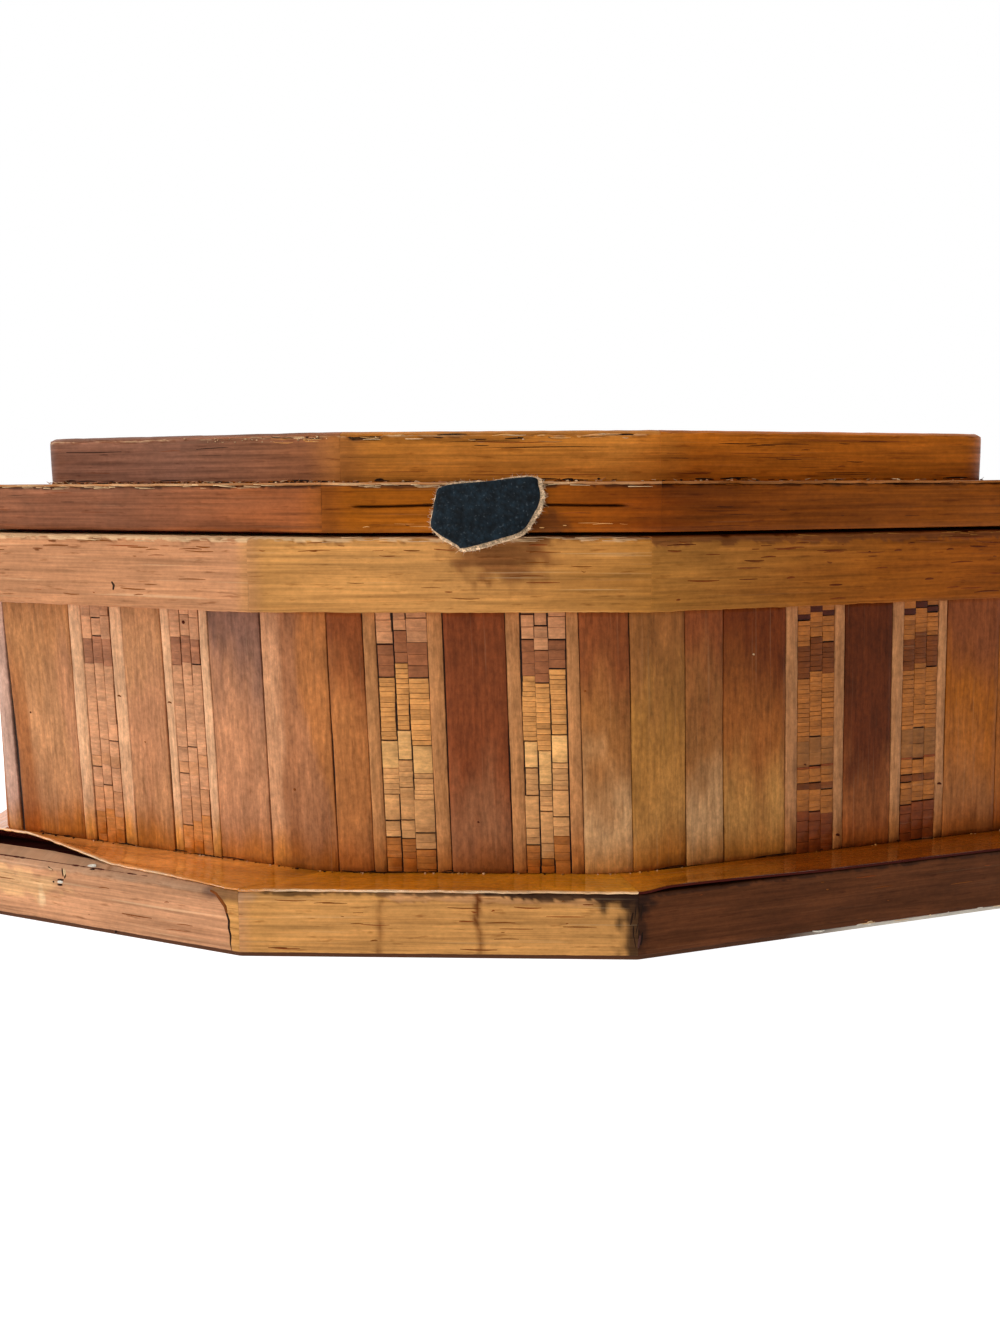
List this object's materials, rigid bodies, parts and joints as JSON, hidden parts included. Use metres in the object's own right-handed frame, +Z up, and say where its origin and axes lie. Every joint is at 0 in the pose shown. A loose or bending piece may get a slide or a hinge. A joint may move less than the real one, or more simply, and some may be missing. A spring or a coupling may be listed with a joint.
{
  "type": "jewelry box",
  "caption": "Octagonal jewelry box in straw marquetry: a plinth, upright straw panels with mosaic bands, a rail and a stepped, hinged lid with a leather pull tab.",
  "frame": {"origin": "middle of the underside, on the surface the box stands on", "axes": "+X along the long side to the right seen from the front, +Y to the back where the hinges are, +Z up"},
  "size_m": [0.1968, 0.132, 0.0811],
  "materials": {
    "straw": "satin",
    "varnished_straw": "gloss",
    "board": "matte",
    "card": "matte",
    "lining": "matte",
    "brass": "satin",
    "leather": "satin"
  },
  "bodies": {
    "box": {"underside_card": "card", "base_board": "board", "plinth_edge_front": "straw", "plinth_edge_front_right": "straw", "plinth_edge_right_end": "straw", "plinth_edge_back_right": "straw", "plinth_edge_back": "straw", "plinth_edge_back_left": "straw", "plinth_edge_left_end": "straw", "plinth_edge_front_left": "straw", "ledge_veneer": "varnished_straw", "wall_front": "board", "wall_front_right": "board", "wall_right_end": "board", "wall_back_right": "board", "wall_back": "board", "wall_back_left": "board", "wall_left_end": "board", "wall_front_left": "board", "marquetry_front": "straw", "marquetry_front_right": "straw", "marquetry_right_end": "straw", "marquetry_back_right": "straw", "marquetry_back": "straw", "marquetry_back_left": "straw", "marquetry_left_end": "straw", "marquetry_front_left": "straw", "rail_front": "straw", "rail_front_right": "straw", "rail_right_end": "straw", "rail_back_right": "straw", "rail_back": "straw", "rail_back_left": "straw", "rail_left_end": "straw", "rail_front_left": "straw", "wall_lining": "lining", "floor_lining": "lining", "hinge_body_leaves": "brass", "hinge_pins": "brass", "body_nails": "brass"},
    "lid": {"lid_board": "board", "lid_edge_front": "straw", "lid_edge_front_right": "straw", "lid_edge_right_end": "straw", "lid_edge_back_right": "straw", "lid_edge_back": "straw", "lid_edge_back_left": "straw", "lid_edge_left_end": "straw", "lid_edge_front_left": "straw", "step_veneer": "varnished_straw", "top_board": "board", "top_edging": "straw", "top_marquetry": "straw", "lid_lining": "lining", "pull_tab": "leather", "hinge_lid_leaves": "brass", "lid_nails": "brass"}
  },
  "joints": [
    {"name": "lid_hinge", "type": "hinge", "parent": "box", "child": "lid", "pos_m": [0, 0.06045, 0.0654], "axis": [-1, 0, 0], "range_deg": [0, 100]}
  ]
}
